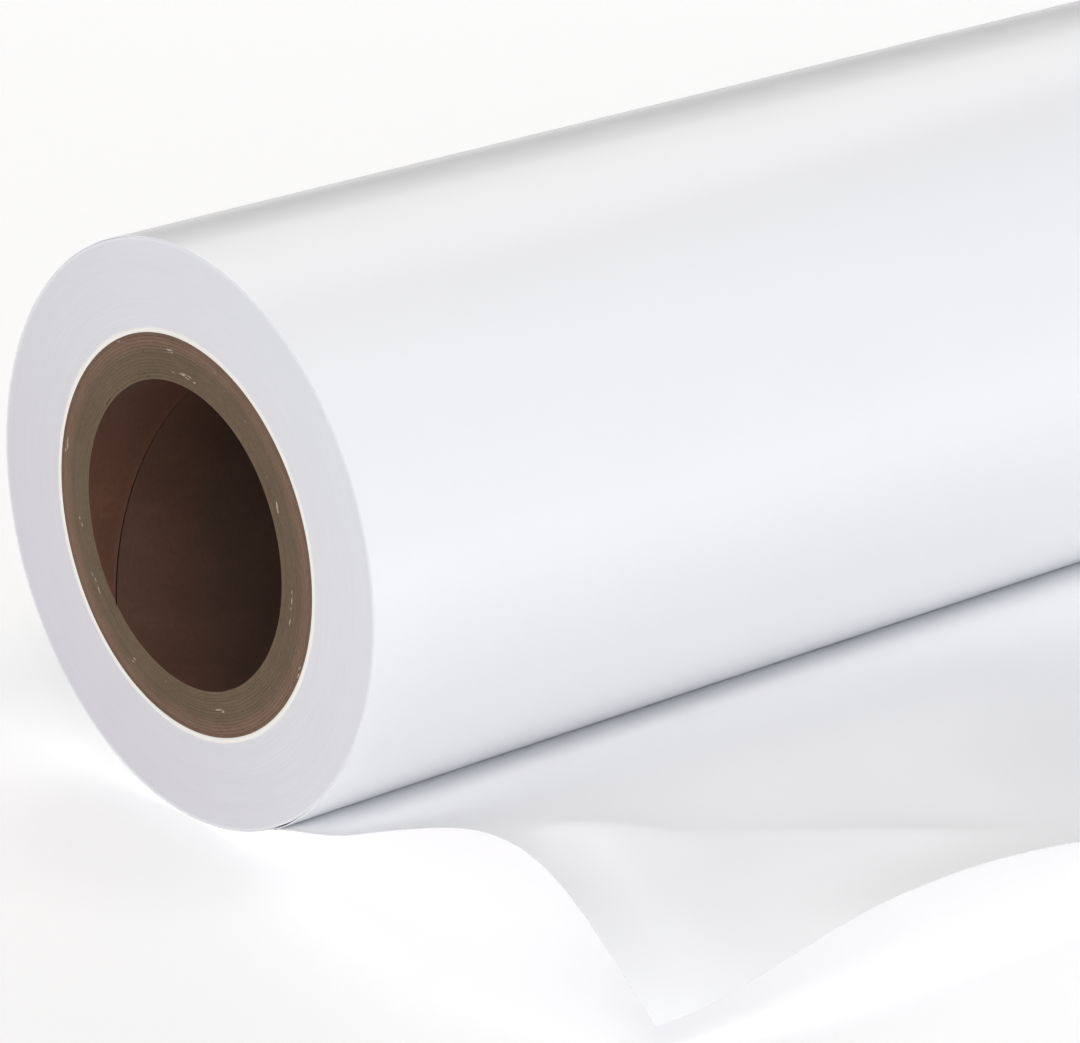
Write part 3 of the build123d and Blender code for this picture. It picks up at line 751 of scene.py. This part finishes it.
def loose_end():
    xs_t = np.array([row[0] for row in LOOSE_END]) * MM + X0
    Y = np.array([[p[0] for p in row[1]] for row in LOOSE_END]) * MM
    Z = FLOOR + np.array([[p[1] for p in row[1]] for row in LOOSE_END]) * MM
    nv0 = Y.shape[1]
    length = 140.0 * MM
    v_t = np.linspace(0, length, nv0)
    xq = np.unique(np.concatenate([np.linspace(X0, X0 + 160 * MM, 90), np.linspace(X0 + 160 * MM, X1, 100)]))
    vq = np.concatenate([np.linspace(0, length * 0.97, 150), length * np.array([0.98, 0.99, 1.0])])
    def resample(F):
        G = cubic_spline(xs_t, F, xq)
        return cubic_spline(v_t, G.T.copy(), vq).T
    Yq, Zq = resample(Y), resample(Z)
    # the straight lead, from the leaving line on the roll to the fold line
    rm = OUT_R - WEB_T / 2
    T = np.array((-rm * math.sin(LEAVE), -rm * math.cos(LEAVE)))
    tan = np.array((-math.cos(LEAVE), math.sin(LEAVE)))
    F = T + tan * LEAD
    # it clings to the roll a little further, then bends away from it to the fold line
    psi = np.linspace(LEAVE, CLING, 9)
    arc = np.stack([-rm * np.sin(psi), -rm * np.cos(psi)], -1)
    n_free = 9
    free = arc[-1][None] + (F - arc[-1])[None] * (np.arange(1, n_free)[:, None] / n_free)
    lead = np.concatenate([arc, free])
    # round the bend off over about a millimetre
    for _ in range(2):
        lead[7:11] = lead[7:11] * 0.5 + (lead[6:10] + lead[8:12]) * 0.25
    step = np.linalg.norm(np.diff(np.concatenate([lead, F[None]]), axis=0), axis=1)
    s = np.concatenate([[0.0], np.cumsum(step)])[:-1]
    nx = len(xq)
    Yq = np.concatenate([np.repeat(lead[None, :, 0], nx, 0), Yq], 1)
    Zq = np.concatenate([np.repeat(lead[None, :, 1], nx, 0), Zq], 1)
    nv = Yq.shape[1]
    vv = np.concatenate([s, LEAD + vq])
    XX = np.repeat(xq[:, None], nv, 1)
    # gentle handling marks: shallow dents that the light picks up, none near the roll
    U = (XX - X0)
    dent = 0.10 * MM * wave_noise(U * 0 + 0.0, U * 9.0 + vv[None] * 5.0, 61, 7, (0, 0.4), (0.4, 1.8))
    dent = dent * smooth((vv[None] - 0.035) / 0.05)
    # a soft fold runs slantwise from the crest of the near edge towards the free edge
    line = np.interp(U / MM, *zip(*FOLD)) * MM + LEAD
    d = vv[None] - line
    soft = np.exp(-(np.sqrt(d * d + (FOLD_SOFT) ** 2) - FOLD_SOFT) / np.where(d < 0, FOLD_BACK, FOLD_FRONT))
    fade = smooth((U - 2 * MM) / (20 * MM)) * (1 - smooth((U - 88 * MM) / (50 * MM)))
    fade = fade * (1 - smooth((vv[None] - LEAD - 114 * MM) / (24 * MM)))
    fold = FOLD_RISE * soft * fade
    M = np.stack([XX, Yq, Zq + np.clip(dent, -0.2 * MM, 0.2 * MM) + fold], -1)
    M[..., 2] = np.maximum(M[..., 2], FLOOR + 0.14 * MM)
    dx = np.gradient(M, axis=0)
    dv = np.gradient(M, axis=1)
    nrm = np.cross(dx, dv)
    nrm /= np.linalg.norm(nrm, axis=2, keepdims=True)
    if nrm[..., 2].mean() < 0:
        nrm = -nrm
    A = M + nrm * WEB_T / 2
    B = M - nrm * WEB_T / 2
    V = np.concatenate([A.reshape(-1, 3), B.reshape(-1, 3)])
    off = nx * nv
    g = loop_quads(nx, nv, False, False)
    ring = [i * nv for i in range(nx)] + [(nx - 1) * nv + j for j in range(1, nv)] + [i * nv + nv - 1 for i in range(nx - 2, -1, -1)] + [j for j in range(nv - 2, -1, -1)]
    ids = np.array(ring)
    st = np.stack([ids[:-1], ids[:-1] + off, ids[1:] + off, ids[1:]], -1)
    quads = np.concatenate([g, g[:, ::-1] + off, st[:, ::-1]])
    # the grid's winding may be either way: bmesh turns the faces consistently below
    a, b_, c = A.reshape(-1, 3)[g[0, 0]], A.reshape(-1, 3)[g[0, 1]], A.reshape(-1, 3)[g[0, 2]]
    mats = np.concatenate([np.zeros(len(g)), np.ones(len(g)), np.full(len(st), 2)]).astype(int)
    o = build("loose_end", V, quads, [LINER, UNDER_SHADED, EDGE], mats, None)
    import bmesh
    bm = bmesh.new()
    bm.from_mesh(o.data)
    bmesh.ops.recalc_face_normals(bm, faces=bm.faces)
    bm.to_mesh(o.data)
    bm.free()
    fix_rim(o.data, len(quads) - len(st))
    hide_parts("tail_film", "tail_adhesive", "tail_liner")
    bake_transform(o)
    return o


loose_end()

# the tape under the first turn stays as it is, in its own material
tape = NODES["start_tape"]
tape.data.materials.clear()
tape.data.materials.append(TAPE)
for p_ in tape.data.polygons:
    p_.use_smooth = True


# ------------------------------------------------------------------ floor, light, camera
def floor():
    me = bpy.data.meshes.new("floor")
    s = 30.0
    me.from_pydata([(-s, -s, FLOOR), (s, -s, FLOOR), (s, s, FLOOR), (-s, s, FLOOR)], [], [(0, 1, 2, 3)])
    o = bpy.data.objects.new("floor", me)
    bpy.context.scene.collection.objects.link(o)
    m, nt, p = new_mat("pale_floor")
    p.inputs["Base Color"].default_value = (0.90, 0.90, 0.90, 1)
    p.inputs["Roughness"].default_value = 1.0
    p.inputs["Specular IOR Level"].default_value = 0.0
    p.inputs["Emission Color"].default_value = (1, 1, 1, 1)
    p.inputs["Emission Strength"].default_value = FLOOR_GLOW
    me.materials.append(m)


FLOOR_GLOW = 0.255
SKY_ALL, SKY_SIDE, SKY_DIR = (0.141, 0.148, 0.166), (1.515, 1.575, 1.670), (-0.75, -0.65, 0.05)
LIGHTS = [
    ("key_above_front", (0.35, -1.25, 2.6), (0.0, -0.05, 0.0), (1.6, 1.2), 14.8, (1.0, 1.0, 0.96)),
    ("box_left", (-1.092, -1.232, 1.839), (-0.1, -0.05, 0.0), (1.5, 1.5), 7.1, (1.15, 1.0, 0.90)),
    ("box_back", (-0.1, 1.493, 1.839), (-0.1, -0.05, 0.0), (1.5, 1.5), 7.0, (1.15, 1.0, 0.78)),
    ("box_behind", (1.200, 1.250, 1.543), (-0.1, -0.05, 0.0), (1.5, 1.5), 8.8, (1.0, 1.0, 1.0)),
]
floor()

world = bpy.data.worlds.new("studio")
bpy.context.scene.world = world
world.use_nodes = True


BACKDROP = (0.610, 0.622, 0.655)


def soft_surround(everywhere, side, toward):
    """A soft studio surround: some light on all sides, and a wide bright side near the front."""
    nt = world.node_tree
    b = N(nt)
    tc = nt.nodes.new("ShaderNodeTexCoord")
    dot = nt.nodes.new("ShaderNodeVectorMath")
    dot.operation = "DOT_PRODUCT"
    nt.links.new(tc.outputs["Generated"], dot.inputs[0])
    n = math.sqrt(sum(c * c for c in toward))
    dot.inputs[1].default_value = tuple(c / n for c in toward)
    m = nt.nodes.new("ShaderNodeMapRange")
    m.interpolation_type = "SMOOTHSTEP"
    nt.links.new(dot.outputs["Value"], m.inputs["Value"])
    m.inputs["From Min"].default_value = 0.30
    m.inputs["From Max"].default_value = 0.95
    bg = nt.nodes["Background"]
    both = tuple(a + c for a, c in zip(everywhere, side))
    # behind the floor's edge there is a plain pale backdrop
    seen = nt.nodes.new("ShaderNodeLightPath")
    nt.links.new(b.mix(seen.outputs["Is Camera Ray"], b.mix(m.outputs["Result"], everywhere, both), BACKDROP), bg.inputs[0])
    bg.inputs[1].default_value = 1.0


soft_surround(SKY_ALL, SKY_SIDE, SKY_DIR)


def area(name, loc, target, size, power, color):
    from mathutils import Vector
    ld = bpy.data.lights.new(name, "AREA")
    ld.shape = "RECTANGLE"
    ld.size, ld.size_y = size
    ld.energy = power
    ld.color = color
    o = bpy.data.objects.new(name, ld)
    bpy.context.scene.collection.objects.link(o)
    o.location = loc
    o.rotation_mode = "QUATERNION"
    o.rotation_quaternion = (Vector(target) - Vector(loc)).to_track_quat("-Z", "Y")
    o.visible_camera = False
    return o


for spec in LIGHTS:
    area(*spec)

cam_data = bpy.data.cameras.new("camera")
cam = bpy.data.objects.new("camera", cam_data)
bpy.context.scene.collection.objects.link(cam)
bpy.context.scene.camera = cam
YAW, PITCH = 0.8688349746585243, 0.36404579857480823
fwd = (math.cos(YAW) * math.cos(PITCH), math.sin(YAW) * math.cos(PITCH), -math.sin(PITCH))
cam.location = (X0 - 0.7235369968, -0.9866641019, 0.4688149536)
from mathutils import Matrix, Vector
right = Vector((math.sin(YAW), -math.cos(YAW), 0.0))
up = right.cross(Vector(fwd))
rot = Matrix((right, up, -Vector(fwd))).transposed()
cam.rotation_mode = "QUATERNION"
cam.rotation_quaternion = rot.to_quaternion()
cam_data.sensor_fit = "HORIZONTAL"
cam_data.sensor_width = 36.0
cam_data.lens = 5514.705485985443 / 1080 * 36.0
cam_data.clip_start, cam_data.clip_end = 0.05, 200.0
bpy.context.scene.view_settings.view_transform = "Standard"
# white surfaces pass light on to each other many times
bpy.context.scene.cycles.max_bounces = 32
bpy.context.scene.cycles.diffuse_bounces = 28
bpy.context.scene.view_settings.look = "None"
